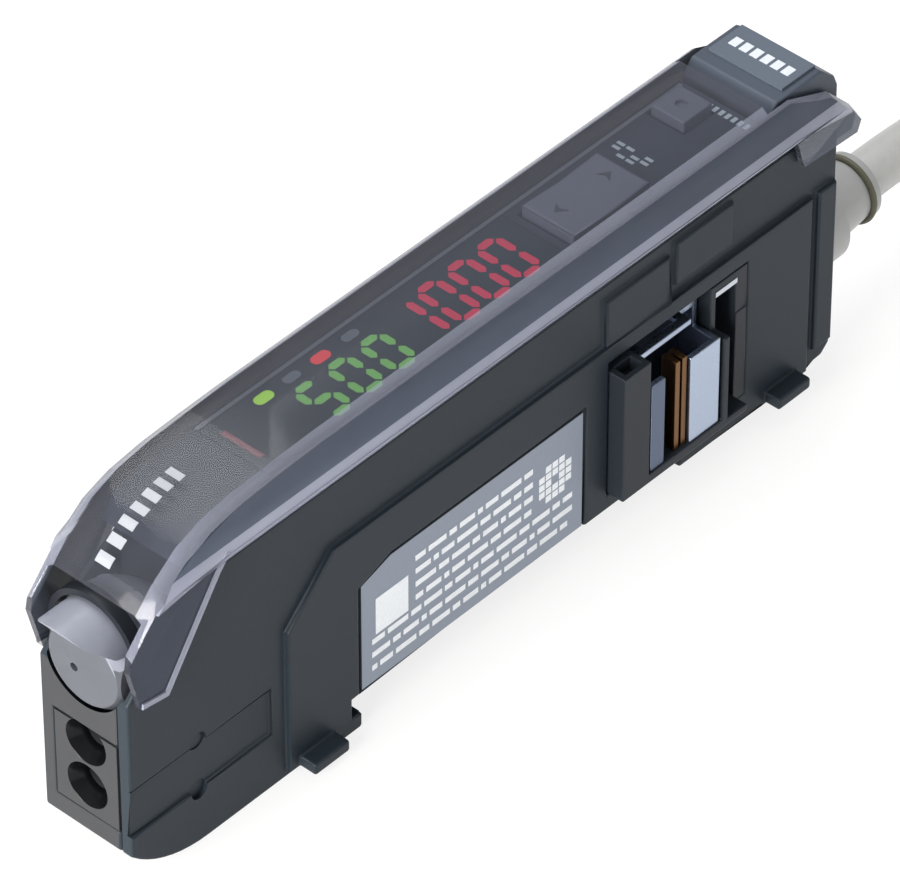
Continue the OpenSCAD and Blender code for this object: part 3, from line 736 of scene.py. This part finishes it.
class AMPLIFIER_OT_case(Piece, bpy.types.Operator):
    """Finishes the case, its side cover and the rear block"""
    bl_idname = "amplifier.case"
    bl_label = "Case"

    # Lighter grey of the case's forward faces: painted light
    FRONT = srgb(51, 52, 54)
    # The fibre face, lighter than the case as painted light: its depth and how squarely a face looks forward
    FRONT_DEPTH = 1
    FORWARD = 0.95
    REAR = srgb(62, 69, 80)
    TAG = srgb(78, 86, 97)
    TAG_INK = srgb(190, 196, 202)
    # Plain bars on the tag plate: number, pitch, length and width
    TAG_BARS = 6
    TAG_PITCH = 1.0
    TAG_BAR_L = 1.0
    TAG_BAR_W = 0.72

    def execute(self, context):
        sizes, colours = self.settings()
        plastic = moulded("case_plastic", colours.case, rough=0.42)
        # The fibre face takes a lighter grey than the rest of the case, as painted light
        front = moulded("front_painted_light", self.FRONT, rough=0.5)
        softened("main_case", [plastic, front], sizes.case_edge, pick=self.is_lit_front)
        softened("side_cover", [plastic], sizes.case_edge)
        softened("rear_block", [moulded("rear_plastic", self.REAR, rough=0.4)], sizes.case_edge)
        painted("tag_plate", moulded("tag_plastic", self.TAG, rough=0.4))
        self.tag(sizes)
        return {"FINISHED"}

    def is_lit_front(self, normal, centre):
        """Faces that look squarely forward at the fibre face take a lighter grey as painted light."""
        return int(normal.x < -self.FORWARD and centre.x < FACE_X + self.FRONT_DEPTH)

    def tag(self, sizes):
        """Row of plain bars on the tag plate."""
        lo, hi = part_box("tag_plate")
        middle = Vector(((lo.x + hi.x) / 2, 0, hi.z))
        places = [(i - (self.TAG_BARS - 1) / 2) * self.TAG_PITCH for i in range(self.TAG_BARS)]
        u, v = self.TAG_BAR_L / 2, self.TAG_BAR_W / 2
        bars = [bar(-u, place - v, u, place + v) for place in places]
        plates("tag_bars", bars, "tag_plate", middle, RIGHT, ACROSS, sizes.print_rise,
               printed("tag_ink", self.TAG_INK))


class AMPLIFIER_OT_label(Piece, bpy.types.Operator):
    """Prints plain rows and blocks on the side label"""
    bl_idname = "amplifier.label"
    bl_label = "Side label"

    MARGIN = 1.1
    # Rows of bars: number, height, shortest bar, most that is added to it, space, least length left
    ROWS = 7
    ROW_H = 0.5
    BAR_L = 0.5
    BAR_MORE = 1.9
    SPACE = 0.34
    LEAST = 0.6
    # Plain square at the front, its place in from the margin and down, and the rows that keep clear of it
    SQUARE = 3.4
    SQUARE_IN = 0.4
    SQUARE_DOWN = 1
    SQUARE_ROOM = 1.2
    SHORT_ROWS = 4
    # Dotted block at the rear: dots a side, their pitch and the share that a dot fills
    DOTS = 5
    DOT = 0.72
    DOT_FILL = 0.8

    def execute(self, context):
        sizes, colours = self.settings()
        painted("rating_label", plated("label_foil", colours.label, rough=0.5, stretch=(6, 1, 1)))
        lo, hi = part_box("rating_label")
        wide, tall = (hi.x - lo.x) / MM, (hi.z - lo.z) / MM
        marks = self.rows(wide, tall) + self.dots(wide, tall) + [self.square(tall)]
        plates("label_print", marks, "rating_label", Vector(lo), RIGHT, UP, sizes.print_rise,
               printed("label_ink", colours.ink))
        return {"FINISHED"}

    def rows(self, wide, tall):
        """Rows of short bars of uneven length."""
        made = []
        pitch = (tall - 2 * self.MARGIN) / self.ROWS
        for row in range(self.ROWS):
            upper = row >= self.ROWS - self.SHORT_ROWS
            u = self.MARGIN + (self.SQUARE + self.SQUARE_ROOM if upper else 0)
            stop = wide - self.MARGIN - (self.DOTS + 1) * self.DOT if upper else wide - self.MARGIN
            v = self.MARGIN + row * pitch
            k = 0
            while u < stop - self.LEAST:
                long = self.BAR_L + self.BAR_MORE * ((row * 5 + k * 3) % 7) / 7
                made.append(bar(u, v, min(u + long, stop), v + self.ROW_H))
                u += long + self.SPACE
                k += 1
        return made

    def dots(self, wide, tall):
        """Square block of dots with some left out."""
        left = wide - self.MARGIN - self.DOTS * self.DOT
        low = tall - self.MARGIN - (self.DOTS + 2) * self.DOT
        side = self.DOT * self.DOT_FILL
        made = []
        for i in range(self.DOTS):
            for j in range(self.DOTS):
                if (i * 3 + j * 5 + i * j) % 4:
                    u, v = left + i * self.DOT, low + j * self.DOT
                    made.append(bar(u, v, u + side, v + side))
        return made

    def square(self, tall):
        """Plain square near the front corner."""
        left = self.MARGIN + self.SQUARE_IN
        top = tall - 2 * self.MARGIN - self.SQUARE_DOWN
        return bar(left, top - self.SQUARE, left + self.SQUARE, top)


class AMPLIFIER_OT_panel(Piece, bpy.types.Operator):
    """Finishes the key panel, its keys and their markings"""
    bl_idname = "amplifier.panel"
    bl_label = "Panel and keys"

    PANEL_EDGE = 0.1
    KEY_EDGE = 0.16
    BOARD = srgb(30, 84, 52)
    SWITCH = srgb(190, 194, 198)
    # Arrow on the rocker from its middle, how deep it starts in the dished top, and its thickness
    ARROW = ((2.2, 0.9), (3.1, 0.3), (2.2, -0.3), (2.5, 0.3))
    ARROW_SINK = 0.13
    ARROW_T = 0.1
    ARROW_INK = srgb(58, 62, 74)
    # Small bars beside the rocker, along and across: number, first corner, pitch and size
    LEGEND_N = (3, 4)
    LEGEND_X, LEGEND_Y = 57.4, -0.6
    LEGEND_PITCH = (0.55, 0.9)
    LEGEND_BAR = (0.3, 0.7)
    # Row of bars behind the keys: first corner, pitch, size and number
    SCALE_X, SCALE_Y = 65.9, -3.2
    SCALE_PITCH = 0.6
    SCALE_BAR = (0.6, 0.35)
    SCALE_N = 11
    LEGEND_INK = srgb(196, 212, 228)
    # Pale lines along the panel's long edges, a painted highlight: start behind the sloping nose, distance
    # of both edges from the panel's side, rear margin
    RIM_X = 15.5
    RIM_IN = (0.55, 0.22)
    RIM_END = 0.3
    RIM_HIGHLIGHT_GREY = srgb(128, 135, 148)

    def execute(self, context):
        sizes, colours = self.settings()
        softened("top_panel", [moulded("panel_plastic", colours.panel, rough=0.38)], self.PANEL_EDGE)
        rubber = rubbery("key_rubber", colours.keys, rough=0.5)
        for key in ("up_down_rocker", "set_key"):
            softened(key, [rubber], self.KEY_EDGE, segments=3)
        self.arrows()
        self.markings(sizes.print_rise)
        for node in ("panel_board", "main_board"):
            painted(node, boarded(node + "_mask", self.BOARD))
        painted("push_switches", plated("switch_metal", self.SWITCH, rough=0.35, stretch=(1, 1, 4)))
        return {"FINISHED"}

    def arrows(self):
        """Arrow towards each end of the rocker."""
        lo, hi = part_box("up_down_rocker")
        top = Vector(((lo.x + hi.x) / 2, 0, hi.z - self.ARROW_SINK * MM))
        pair = [[(side * u, v) for u, v in self.ARROW] for side in (-1, 1)]
        plates("rocker_arrows", pair, "up_down_rocker", top, RIGHT, ACROSS, self.ARROW_T,
               printed("key_mark", self.ARROW_INK))

    def markings(self, rise):
        """Plain bars on the panel, and pale lines along its long edges as painted highlight."""
        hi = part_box("top_panel")[1]
        face = Vector((at(0, 0, 0).x, 0, hi.z))
        legend = []
        along, across = self.LEGEND_N
        for i in range(along):
            for j in range(across):
                if (i + j) % 3:
                    u = self.LEGEND_X + i * self.LEGEND_PITCH[0]
                    v = self.LEGEND_Y + j * self.LEGEND_PITCH[1]
                    legend.append(bar(u, v, u + self.LEGEND_BAR[0], v + self.LEGEND_BAR[1]))
        for i in range(self.SCALE_N):
            v = self.SCALE_Y + i * self.SCALE_PITCH
            legend.append(bar(self.SCALE_X, v, self.SCALE_X + self.SCALE_BAR[0], v + self.SCALE_BAR[1]))
        plates("panel_legend", legend, "top_panel", face, RIGHT, ACROSS, rise,
               printed("panel_ink", self.LEGEND_INK))
        # Pale lines along both long edges: painted highlight
        inner, outer = (hi.y / MM - d for d in self.RIM_IN)
        end = (hi.x - face.x) / MM - self.RIM_END
        rims = [bar(self.RIM_X, side * inner, end, side * outer) for side in (-1, 1)]
        plates("panel_rims", rims, "top_panel", face, RIGHT, ACROSS, rise, printed("rim_painted_highlight", self.RIM_HIGHLIGHT_GREY))


class AMPLIFIER_OT_display(Piece, bpy.types.Operator):
    """Fits the smoked window with its lit figures and lamps"""
    bl_idname = "amplifier.display"
    bl_label = "Display"

    WINDOW_EDGE = 0.12
    # Figures and their places along the window, and each row's place across it
    GREEN = (("5", 23.6), ("0", 26.95), ("0", 30.3))
    GREEN_Y = -0.75
    RED = (("1", 34.1), ("0", 37.25), ("0", 40.4), ("0", 43.55))
    RED_Y = -0.2
    GLOW = 1.0
    # Lamps: places along the window, then the place across it, length and width
    LIT = (("green_lamp", 20.9, srgb(165, 225, 60)), ("red_lamp", 26.7, srgb(230, 50, 60)))
    LIT_PILL = (2.35, 1.75, 0.95)
    LAMP_GLOW = 1.1
    UNLIT = (23.8, 29.8)
    UNLIT_PILL = (2.4, 1.6, 0.8)
    UNLIT_INK = srgb(98, 110, 124)
    RESIN = srgb(190, 200, 180)
    # Corners of the dim bar at the window's front
    DIM_BAR = (16.1, -1.8, 16.6, 2.0)
    DIM_INK = srgb(140, 72, 84)

    def execute(self, context):
        sizes, colours = self.settings()
        clear = moulded("window_plastic", colours.window, rough=0.18, grain=0.02)
        softened("display_window", [clear], self.WINDOW_EDGE)
        face = Vector((at(0, 0, 0).x, 0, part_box("display_window")[1].z))

        def lay(name, outlines, node, material):
            plates(name, outlines, node, face, RIGHT, ACROSS, sizes.print_rise, material)

        lit = (("green_figures", self.GREEN, self.GREEN_Y, sizes.green_h, colours.green, "green_display"),
               ("red_figures", self.RED, self.RED_Y, sizes.red_h, colours.red, "red_display"))
        for name, row, v, height, colour, node in lit:
            bars = []
            for glyph, u in row:
                bars += digit(glyph, u, v, sizes.digit_w, height, sizes.stroke)
            lay(name, bars, node, glowing(name, colour, self.GLOW))
            painted(node, moulded(node + "_body", shade(colour, 0.25), rough=0.4))
        for name, u, colour in self.LIT:
            lay(name, [pill(u, *self.LIT_PILL)], "indicator_lamps", glowing(name, colour, self.LAMP_GLOW))
        lay("unlit_lamps", [pill(u, *self.UNLIT_PILL) for u in self.UNLIT], "indicator_lamps",
            printed("unlit_lamp", self.UNLIT_INK))
        lay("dim_bar", [bar(*self.DIM_BAR)], "red_display", printed("dim_red", self.DIM_INK))
        painted("indicator_lamps", rubbery("lamp_resin", self.RESIN, rough=0.3))
        return {"FINISHED"}


class AMPLIFIER_OT_cover(Piece, bpy.types.Operator):
    """Finishes the smoked dust cover and its pin"""
    bl_idname = "amplifier.cover"
    bl_label = "Dust cover"

    # Distances from the lip's flare in to the lip's face, which is painted brighter as highlight, and to the
    # roof's edge
    LIP_IN = 0.16
    EDGE_IN = 0.48
    # Least distance of a facet from the middle, and how far a margin's points lie past the fold
    FACET_Y = 3.8
    PAST_FOLD = 0.1
    # Parts of a face's normal: up and across of the roof, across and up of a facet, across of a side
    ROOF_UP, ROOF_ACROSS = 0.25, 0.3
    FACET_ACROSS, FACET_UP = 0.2, 0.1
    SIDE_ACROSS = 0.93
    # End of the cheeks beside the lever, which are painted darker than the sides as shade
    CHEEK_X = 9.0
    # Sides and cheeks: darker copies of the smoked plastic, painted shade
    SIDE = srgb(70, 76, 88)
    CHEEK_SHADE = srgb(52, 58, 70)
    PIN = srgb(186, 190, 196)
    # Border of the cheeks from the lip down and forward, the lip's place inside it and its rise
    FLARE = 0.2
    BORDER = ((9.6, 26.2), (8.6, 25.1), (3.2, 17.2), (0.6, 17.6))
    LIP_BAND = (0.06, 0.5)
    LIP_RISE = 0.16
    # Row of blocks on the nose: both ends, both sides, number and share of the pitch that a block fills
    BLOCKS_X = (2.6, 10.8)
    BLOCKS_Y = (-0.35, 1.05)
    BLOCK_N = 7
    BLOCK_FILL = 0.55
    BLOCK_INK = srgb(140, 144, 150)

    def execute(self, context):
        sizes, colours = self.settings()
        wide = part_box("dust_cover")[1].y / MM
        # The lip and the facets take lighter copies of the smoked plastic as painted highlight, the sides
        # and cheeks darker ones as painted shade
        edge = smoked("smoked_lip_highlight", colours.cover, opacity=0.62, rim=0.3)
        softened("dust_cover",
                 [smoked("smoked_roof", shade(colours.cover, 0.22), opacity=0.24, rim=0.3),
                  edge,
                  smoked("smoked_side_shade", self.SIDE, opacity=0.82, rim=0.15, gloss=0.1),
                  smoked("smoked_facet_highlight", shade(colours.cover, 0.62), opacity=0.6, rim=0.3),
                  smoked("smoked_cheek_shade", self.CHEEK_SHADE, opacity=0.82, rim=0.15, gloss=0.1)],
                 radius=0,
                 shape=lambda work: self.slope(work, wide - self.EDGE_IN, sizes.facet_w, sizes.facet_drop),
                 pick=lambda normal, centre: self.band(normal, centre, wide - self.LIP_IN))
        self.cheek_lips((wide - self.FLARE) * MM, edge)
        self.blocks(sizes.print_rise)
        painted("cover_pin", plated("pin_steel", self.PIN, rough=0.3, stretch=(1, 5, 1)))
        return {"FINISHED"}

    def slope(self, work, edge, width, drop):
        """Slopes the roof's long margins down to the sides."""
        inner = edge - width
        for side in (-1, 1):
            bmesh.ops.bisect_plane(work, geom=work.verts[:] + work.edges[:] + work.faces[:],
                                   plane_co=(0, side * inner * MM, 0), plane_no=(0, side, 0))
        margin = [v for v in work.verts if abs(v.co.y) > (inner + self.PAST_FOLD) * MM
                  and any(f.normal.z > self.ROOF_UP and abs(f.normal.y) < self.ROOF_ACROSS
                          for f in v.link_faces)]
        for v in margin:
            v.co.z -= drop * (abs(v.co.y) / MM - inner) / width * MM

    def band(self, normal, centre, lip):
        """Number of the material: roof, lip in painted highlight, side in painted shade, facet in painted
        highlight or cheek in darker painted shade.
        """
        if abs(centre.y) > lip:
            return 1
        if abs(normal.y) >= self.SIDE_ACROSS:
            return 4 if centre.x < FACE_X + self.CHEEK_X else 2
        sloping = abs(normal.y) > self.FACET_ACROSS and normal.z > self.FACET_UP
        return 3 if sloping and abs(centre.y) > self.FACET_Y else 0

    def cheek_lips(self, half, material):
        """Narrow raised lips along the rear and lower border of the cheeks, in the lip's painted highlight.
        """
        corners = [Vector(p) for p in self.BORDER]
        inward = []
        for a, b in zip(corners, corners[1:]):
            along = (b - a).normalized()
            inward.append(Vector((along.y, -along.x)))
        before, after = inward[:1] + inward, inward + inward[-1:]
        turn = [(m + n) / (1 + m.dot(n)) for m, n in zip(before, after)]
        near, far = ([p + t * d for p, t in zip(corners, turn)] for d in self.LIP_BAND)
        for name, side in (("near_cheek_lip", 1), ("far_cheek_lip", -1)):
            outline = [(side * p.x, p.y) for p in near + far[::-1]]
            plates(name, [outline], "dust_cover", at(0, 0, 0) - ACROSS * (side * half), RIGHT * side, UP,
                   self.LIP_RISE, material)

    def blocks(self, rise):
        """Row of plain pale blocks along the nose."""
        start, end = self.BLOCKS_X
        low, high = self.BLOCKS_Y
        pitch = (end - start) / self.BLOCK_N
        bars = [(start + i * pitch, low, start + (i + self.BLOCK_FILL) * pitch, high)
                for i in range(self.BLOCK_N)]
        wrapped("nose_blocks", bars, "dust_cover", rise, printed("nose_ink", self.BLOCK_INK))


class AMPLIFIER_OT_lever(Piece, bpy.types.Operator):
    """Finishes the lock lever, its pin and the fibre optics"""
    bl_idname = "amplifier.lever"
    bl_label = "Lock lever and optics"

    # Share of the lever's height at which the hub turns into the finger lip
    FOLD = 0.62
    # Faces below that height take the same milky plastic darkened to this share, as painted shade
    HUB_PAINTED_SHADE = 0.34
    LEVER_EDGE = 0.4
    ARCH_EDGE = 0.15
    HOLDER_EDGE = 0.06
    ARCH = srgb(28, 31, 36)
    STEEL = srgb(186, 190, 196)
    # The fibre holder takes the fibre face's lighter grey, painted light
    HOLDER_PAINTED_LIGHT = srgb(51, 52, 54)
    # Near black of the bores' mouths: painted shade
    MOUTH_SHADE = srgb(10, 11, 13)
    EMITTER = srgb(196, 206, 204)
    RECEIVER = srgb(40, 40, 48)

    def execute(self, context):
        colours = self.settings()[1]
        lo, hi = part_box("fibre_lock_lever")
        fold = (lo.z + (hi.z - lo.z) * self.FOLD) / MM
        # The lever below the fold is a darker copy of its own plastic: painted shade
        hub = milky("lever_hub_painted_shade", shade(colours.lever, self.HUB_PAINTED_SHADE))
        softened("fibre_lock_lever", [milky("lever_plastic", colours.lever), hub], self.LEVER_EDGE,
                 segments=3, pick=lambda normal, centre: int(centre.z < fold))
        softened("lever_arch", [moulded("arch_plastic", self.ARCH, rough=0.35)], self.ARCH_EDGE)
        steel = plated("lever_steel", self.STEEL, rough=0.3, stretch=(1, 5, 1))
        for pin in ("lever_pin", "rocker_pin"):
            painted(pin, steel)
        softened("fibre_holder", [moulded("holder_painted_light", self.HOLDER_PAINTED_LIGHT, rough=0.5),
                                  moulded("mouth_painted_shade", self.MOUTH_SHADE, rough=0.2, grain=0.02)],
                 self.HOLDER_EDGE, pick=self.is_shaded_mouth)
        painted("emitter_led", rubbery("led_resin", self.EMITTER, rough=0.2, grain=0.05))
        painted("receiver_photodiode", rubbery("receiver_resin", self.RECEIVER, rough=0.25, grain=0.05))
        return {"FINISHED"}

    def is_shaded_mouth(self, normal, centre):
        """The tapered mouths of the bores face forward at a slant; they take near black as painted shade of
        the hollow bores.
        """
        return int(max(map(abs, normal)) < 0.97 and normal.x < -0.2)


class AMPLIFIER_OT_plug(Piece, bpy.types.Operator):
    """Finishes the expansion plug and the socket on the far side"""
    bl_idname = "amplifier.plug"
    bl_label = "Expansion plug"

    HOUSING_EDGE = 0.12
    SHELL_EDGE = 0.1
    CONTACT_EDGE = 0.06
    HOUSING = srgb(34, 39, 45)
    SHELL = srgb(176, 188, 208)
    # Darker copy of the shell's steel beside the post: painted shade
    STRIP = srgb(98, 110, 130)
    BRONZE = srgb(122, 88, 56)
    GOLD = srgb(202, 166, 92)
    # Drawn streaks of metal that was pulled upright
    UPRIGHT = (1, 1, 8)
    # Width of the folded strip beside the post, whose steel is painted darker as shade
    STRIP_W = 1.7
    # Ledge over the slot: two corners from the housing's corner, depth from the front and thickness
    LEDGE = (11.6, 11.55, 14.0, 12.0)
    LEDGE_Y = 1.9
    LEDGE_T = 0.5
    LEDGE_STEEL = srgb(200, 206, 214)

    def execute(self, context):
        black = moulded("plug_plastic", self.HOUSING, rough=0.4)
        for housing in ("plug_housing", "socket_housing"):
            softened(housing, [black], self.HOUSING_EDGE)
        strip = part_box("plug_shell")[0].x / MM + self.STRIP_W
        softened("plug_shell", [plated("shell_steel", self.SHELL, rough=0.3, stretch=self.UPRIGHT),
                                plated("strip_steel_shade", self.STRIP, rough=0.4, stretch=self.UPRIGHT)],
                 self.SHELL_EDGE, pick=lambda normal, centre: int(centre.x < strip and normal.y < -0.9))
        self.ledge()
        bronze = plated("contact_bronze", self.BRONZE, rough=0.35, stretch=self.UPRIGHT)
        softened("plug_contacts", [bronze], self.CONTACT_EDGE)
        gold = plated("contact_gold", self.GOLD, rough=0.3, stretch=self.UPRIGHT)
        softened("socket_contacts", [gold], self.CONTACT_EDGE)
        return {"FINISHED"}

    def ledge(self):
        """Bright ledge over the slot behind the shell."""
        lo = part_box("plug_housing")[0]
        spot = Vector((lo.x, lo.y + self.LEDGE_Y * MM, lo.z))
        plates("plug_ledge", [bar(*self.LEDGE)], "plug_shell", spot, RIGHT, UP, self.LEDGE_T,
               plated("ledge_steel", self.LEDGE_STEEL, rough=0.3, stretch=(8, 1, 1)))


class AMPLIFIER_OT_boot(Piece, bpy.types.Operator):
    """Finishes the cable's boot"""
    bl_idname = "amplifier.boot"
    bl_label = "Cable boot"

    # Ring: distance from the boot's end, radius, half thickness and facets
    RING_BACK = 0.9
    RING_R = 2.75
    RING_T = 0.26
    RING_STEPS = 48
    RING_SIDES = 10
    RING = srgb(92, 90, 76)
    BOOT = srgb(150, 151, 150)
    BOOT_EDGE = 0.15

    def execute(self, context):
        plastic = moulded("boot_plastic", self.BOOT, rough=0.3, grain=0.04, gloss=0.6)
        softened("cable_boot", [plastic], self.BOOT_EDGE)
        lo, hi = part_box("cable_boot")
        self.hoop(Vector((hi.x - self.RING_BACK * MM, 0, (lo.z + hi.z) / 2)),
                  moulded("ring_plastic", self.RING, rough=0.45, grain=0.04))
        return {"FINISHED"}

    def hoop(self, centre, material):
        """Dark ring round the boot's end."""
        work = bmesh.new()
        loops = []
        for i in range(self.RING_STEPS):
            a = 2 * math.pi * i / self.RING_STEPS
            spoke = Vector((0, math.cos(a), math.sin(a)))
            loops.append([work.verts.new(centre + spoke * ((self.RING_R + self.RING_T * math.cos(b)) * MM)
                                         + Vector((self.RING_T * math.sin(b) * MM, 0, 0)))
                          for b in (2 * math.pi * k / self.RING_SIDES for k in range(self.RING_SIDES))])
        for loop, after in zip(loops, loops[1:] + loops[:1]):
            for k in range(self.RING_SIDES):
                n = (k + 1) % self.RING_SIDES
                work.faces.new((loop[k], after[k], after[n], loop[n]))
        bmesh.ops.recalc_face_normals(work, faces=work.faces)
        mesh = mesh_of("boot_ring", work, material)
        smooth(mesh)
        piece("boot_ring", mesh, "case", SLOT_OF["cable_boot"])


class AMPLIFIER_PT_panel(bpy.types.Panel):
    """Lists the amplifier's pieces"""
    bl_idname = "AMPLIFIER_PT_panel"
    bl_label = "Sensor amplifier"
    bl_space_type = "VIEW_3D"
    bl_region_type = "UI"
    bl_category = "Amplifier"

    def draw(self, context):
        for operator in OPERATORS:
            self.layout.operator(operator.bl_idname)


OPERATORS = (AMPLIFIER_OT_stage, AMPLIFIER_OT_cable, AMPLIFIER_OT_case, AMPLIFIER_OT_label,
             AMPLIFIER_OT_panel, AMPLIFIER_OT_display, AMPLIFIER_OT_cover, AMPLIFIER_OT_lever,
             AMPLIFIER_OT_plug, AMPLIFIER_OT_boot)
CLASSES = (AmplifierSizes, AmplifierColours) + OPERATORS + (AMPLIFIER_PT_panel,)


def register():
    for cls in CLASSES:
        bpy.utils.register_class(cls)
    bpy.types.Scene.amplifier_sizes = PointerProperty(type=AmplifierSizes)
    bpy.types.Scene.amplifier_colours = PointerProperty(type=AmplifierColours)


def unregister():
    del bpy.types.Scene.amplifier_colours
    del bpy.types.Scene.amplifier_sizes
    for cls in reversed(CLASSES):
        bpy.utils.unregister_class(cls)


def main():
    register()
    for operator in OPERATORS:
        area, name = operator.bl_idname.split(".")
        getattr(getattr(bpy.ops, area), name)()


if __name__ == "__main__":
    main()
